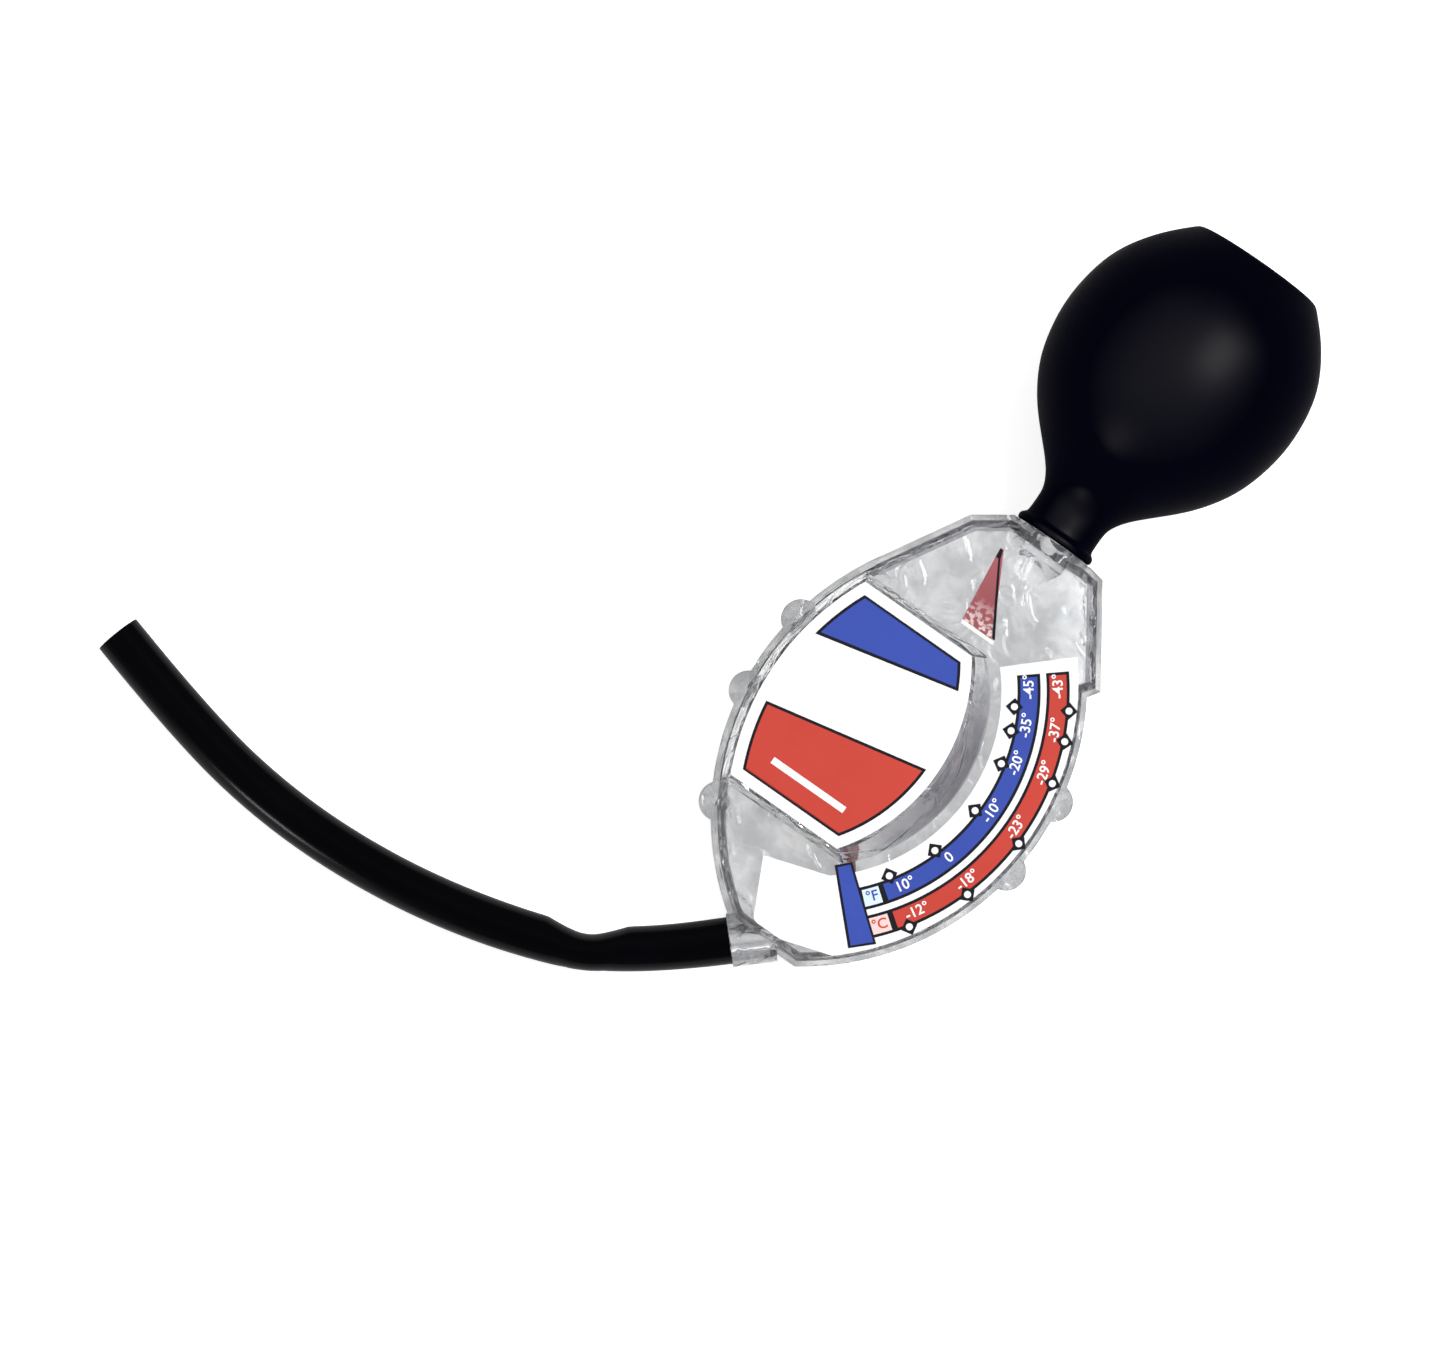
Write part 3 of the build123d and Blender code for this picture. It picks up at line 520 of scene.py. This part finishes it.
celsius = ("-12°", "-18°", "-23°", "-29°", "-37°", "-43°")


def seat(piece, material, body="housing"):
    """Places a piece that was made flat about the pivot onto the dial, and gives it its ink."""
    piece.data.transform(dial)
    wears(piece, material)
    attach(piece, body)


def open_flat(name):
    """Names the new primitive and opens it for editing."""
    piece = bpy.context.object
    piece.name = name
    piece.data.name = name
    bpy.ops.object.mode_set(mode="EDIT")
    bpy.ops.mesh.select_mode(type="FACE")
    bpy.ops.mesh.select_all(action="SELECT")
    return piece


def raise_ink(level, layers):
    """Gives the flat shape that is open for editing its thickness of ink, and closes it."""
    bpy.ops.mesh.select_all(action="SELECT")
    bpy.ops.transform.translate(value=(0, 0, level))
    bpy.ops.mesh.extrude_region_move(TRANSFORM_OT_translate={"value": (0, 0, layers * ink)})
    bpy.ops.mesh.select_all(action="SELECT")
    bpy.ops.mesh.normals_make_consistent(inside=False)
    bpy.ops.object.mode_set(mode="OBJECT")


def arc_band(name, inner, outer, low, high, layers):
    """A flat band on the deck, from one angle to another: a disc, inset to a ring, cut at both ends."""
    bpy.ops.object.select_all(action="DESELECT")
    bpy.ops.mesh.primitive_circle_add(vertices=360, radius=outer, fill_type="NGON")
    piece = open_flat(name)
    bpy.ops.mesh.inset(thickness=outer - inner)
    bpy.ops.mesh.delete(type="FACE")
    for angle, side in ((low, 1), (high, -1)):
        bpy.ops.mesh.select_all(action="SELECT")
        cut = Vector((sin(radians(angle)), -cos(radians(angle)), 0)) * side
        bpy.ops.mesh.bisect(plane_co=(0, 0, 0), plane_no=cut, clear_outer=True)
    raise_ink(deck_print, layers)
    return piece


def printed_band(name, inner, outer, low, high, material):
    """A coloured band with a black outline under it."""
    edge = outline / outer * 180 / pi
    seat(arc_band(name + "_outline", inner, outer, low, high, 1), black_ink)
    seat(arc_band(name, inner + outline, outer - outline, low + edge, high - edge, 2), material)


def mark(name, corners, reach, angle, half, layers):
    """A small flat shape on the deck, with a corner that points out along the radius at its angle."""
    bpy.ops.object.select_all(action="DESELECT")
    bpy.ops.mesh.primitive_circle_add(vertices=corners, radius=half, fill_type="NGON")
    piece = open_flat(name)
    raise_ink(deck_print, layers)
    piece.data.transform(Matrix.Rotation(radians(angle), 4, "Z") @ Matrix.Translation((reach, 0, 0)))
    return piece


def joined(pieces, name):
    """One piece made of several."""
    bpy.ops.object.select_all(action="DESELECT")
    for piece in pieces:
        piece.select_set(True)
    bpy.context.view_layer.objects.active = pieces[0]
    bpy.ops.object.join()
    pieces[0].name = name
    pieces[0].data.name = name
    return pieces[0]


def numbers(name, words, angles, band):
    """Figures set along the middle of a band, upright towards the pivot, at their angles on the dial."""
    radius = sum(band) / 2
    made = []
    for word, angle in zip(words, angles):
        bpy.ops.object.select_all(action="DESELECT")
        bpy.ops.object.text_add()
        text = bpy.context.object
        text.data.body = word
        text.data.size = figure_size
        text.data.align_x = "CENTER"
        text.data.align_y = "CENTER"
        text.data.extrude = ink
        text.data.offset = figure_swell
        only(text)
        bpy.ops.object.convert(target="MESH")
        figure = bpy.context.object
        along = Matrix.Rotation(radians(90), 4, "Z")
        figure.data.transform(
            Matrix.Rotation(radians(angle), 4, "Z") @ Matrix.Translation((radius, 0, figure_print)) @ along
        )
        made.append(figure)
    return joined(made, name)


for name, (inner, outer), material, pale in (
    ("blue_scale", blue_band, blue_ink, pale_blue_ink),
    ("red_scale", red_band, red_ink, pale_red_ink),
):
    printed_band(name + "_cell", inner, outer, cell_foot, band_foot, pale)
    printed_band(name, inner, outer, band_foot, band_top, material)
for name, reach in (("blue_marks", blue_mark_reach), ("red_marks", red_mark_reach)):
    rims = [mark(name + "_rim", 4, reach, angle, mark_half, 3) for angle in mark_angles]
    eyes = [mark(name + "_eye", mark_eye_sides, reach, angle, mark_eye, 4) for angle in mark_angles]
    seat(joined(rims, name), black_ink)
    seat(joined(eyes, name + "_eyes"), white_ink)
seat(numbers("blue_numbers", fahrenheit, figure_angles, blue_band), white_ink)
seat(numbers("red_numbers", celsius, figure_angles, red_band), white_ink)
cell_angle = (band_foot + cell_foot) / 2
seat(numbers("blue_unit", ("°F",), (cell_angle,), blue_band), blue_ink)
seat(numbers("red_unit", ("°C",), (cell_angle,), red_band), red_ink)


def flat_shape(name, corners, level, layers):
    """A flat shape with straight sides: a disc of as many corners, each dragged to its place in mm."""
    bpy.ops.object.select_all(action="DESELECT")
    bpy.ops.mesh.primitive_circle_add(vertices=len(corners), radius=mm, fill_type="NGON")
    piece = bpy.context.object
    for vertex, (x, y) in zip(piece.data.vertices, reversed(corners)):
        vertex.co = (x * mm, y * mm, 0)
    open_flat(name)
    raise_ink(level, layers)
    return piece


bar_corners = [(25.3, -23.8), (38.6, -34.4), (34.5, -38.3), (22.8, -26.3)]
bar_fill_corners = [(25.3, -24.4), (37.9, -34.4), (34.6, -37.6), (23.5, -26.3)]
bar_foot = 7.0 * mm
bar_layers = (deck_print - bar_foot) / ink + 3
seat(flat_shape("unit_bar_rim", bar_corners, bar_foot, bar_layers), black_ink)
seat(flat_shape("unit_bar", bar_fill_corners, deck_print, 4), blue_ink)

# Badge: white plastic film that covers the top of the plateau, printed with a blue panel at its head and a
# red one at its foot. Both panels follow the film's curved sides, and their slanted edges face each other.
badge_print = 12.25 * mm
panel_margin = 2.2 * mm
facing_up = 0.9


def badge_panel(name, cuts, shrink, layers):
    """A panel cut from a copy of the badge's top, drawn in from its edge and cut along straight lines."""
    piece = bpy.data.objects.new(name, nodes["badge_label"].data.copy())
    bpy.context.scene.collection.objects.link(piece)
    piece.data.name = name
    piece.data.transform(dial.inverted())
    only(piece)
    bpy.ops.mesh.customdata_custom_splitnormals_clear()
    bpy.ops.object.mode_set(mode="EDIT")
    bpy.ops.mesh.select_mode(type="FACE")
    bpy.ops.mesh.select_all(action="SELECT")
    bpy.ops.mesh.remove_doubles(threshold=0.001 * mm)
    bpy.ops.object.mode_set(mode="OBJECT")
    for face in piece.data.polygons:
        face.select = not (face.normal.z > facing_up)
    bpy.ops.object.mode_set(mode="EDIT")
    bpy.ops.mesh.delete(type="FACE")
    bpy.ops.mesh.select_all(action="SELECT")
    bpy.ops.mesh.dissolve_limited(angle_limit=radians(1))
    bpy.ops.mesh.select_all(action="SELECT")
    bpy.ops.mesh.inset(thickness=panel_margin + shrink)
    bpy.ops.mesh.select_all(action="INVERT")
    bpy.ops.mesh.delete(type="FACE")
    for (x0, y0), (x1, y1) in cuts:
        bpy.ops.mesh.select_all(action="SELECT")
        along = Vector((x1 - x0, y1 - y0, 0)).normalized()
        outward = Vector((along.y, -along.x, 0))
        start = Vector((x0 * mm, y0 * mm, 0)) - outward * shrink
        bpy.ops.mesh.bisect(plane_co=start, plane_no=outward, clear_outer=True)
    raise_ink(0, layers)
    bpy.ops.object.shade_flat()
    return piece


blue_cuts = (((-5.4, 9.6), (23.6, 16.2)),)
red_cuts = (((26.0, -0.4), (-6.8, -7.2)),)
for name, cuts, material in (("blue_panel", blue_cuts, blue_ink), ("red_panel", red_cuts, red_ink)):
    seat(badge_panel(name + "_outline", cuts, 0, 1), black_ink)
    seat(badge_panel(name, cuts, outline, 2), material)
rule_corners = [(0.6, -16.9), (0.6, -15.5), (18.0, -15.5), (18.0, -16.9)]
seat(flat_shape("red_panel_rule", rule_corners, badge_print, 3), white_ink)

# Fill mark: a thin arrow of red film under the neck, with a dark cap at its tip and a dark line down its
# right side. Its lower third is rubbed pale, and a white line runs along its foot.
red_film = printed_ink("red_film", (0.26, 0.050, 0.060), (0.42, 0.10, 0.115), (0.28, 0.42))
tree = red_film.node_tree
tone = next(node for node in tree.nodes if node.bl_idname == "ShaderNodeMix")
rubbed_top = dial @ Vector((0, 34.5 * mm, deck_print))
rubbed_foot = dial @ Vector((0, 29.0 * mm, deck_print))
rubbed_pale = (0.78, 0.62, 0.62, 1)
speck_scale = 1100
speck_from, speck_to = 0.47, 0.56
place = next(node for node in tree.nodes if node.bl_idname == "ShaderNodeTexCoord")
height = tree.nodes.new("ShaderNodeSeparateXYZ")
lower = tree.nodes.new("ShaderNodeMapRange")
lower.inputs["From Min"].default_value = rubbed_top.y
lower.inputs["From Max"].default_value = rubbed_foot.y
specks = tree.nodes.new("ShaderNodeTexNoise")
specks.inputs["Scale"].default_value = speck_scale
specks.inputs["Detail"].default_value = 2
speck_edge = tree.nodes.new("ShaderNodeMapRange")
speck_edge.inputs["From Min"].default_value = speck_from
speck_edge.inputs["From Max"].default_value = speck_to
rubbed = tree.nodes.new("ShaderNodeMath")
rubbed.operation = "MULTIPLY"
rubbed_tone = tree.nodes.new("ShaderNodeMix")
rubbed_tone.data_type = "RGBA"
rubbed_tone.inputs["B"].default_value = rubbed_pale
tree.links.new(place.outputs["Object"], height.inputs["Vector"])
tree.links.new(place.outputs["Object"], specks.inputs["Vector"])
tree.links.new(height.outputs["Y"], lower.inputs["Value"])
tree.links.new(specks.outputs["Fac"], speck_edge.inputs["Value"])
tree.links.new(lower.outputs["Result"], rubbed.inputs[0])
tree.links.new(speck_edge.outputs["Result"], rubbed.inputs[1])
tree.links.new(rubbed.outputs["Value"], rubbed_tone.inputs["Factor"])
tree.links.new(tone.outputs["Result"], rubbed_tone.inputs["A"])
tree.links.new(rubbed_tone.outputs["Result"], tree.nodes["Principled BSDF"].inputs["Base Color"])
wears(nodes["fill_mark"], red_film)
mark_cap = [(13.7, 44.3), (14.3, 44.3), (14.95, 42.4), (13.8, 42.4)]
mark_side = [(14.95, 42.4), (23.3, 28.6), (22.6, 28.6), (14.5, 42.4)]
mark_foot = [(15.6, 27.6), (15.6, 28.4), (23.3, 28.4), (23.4, 27.6)]
for name, corners, material in (
    ("fill_mark_cap", mark_cap, black_ink),
    ("fill_mark_side", mark_side, black_ink),
    ("fill_mark_foot", mark_foot, white_ink),
):
    seat(flat_shape(name, corners, deck_print, 2), material)
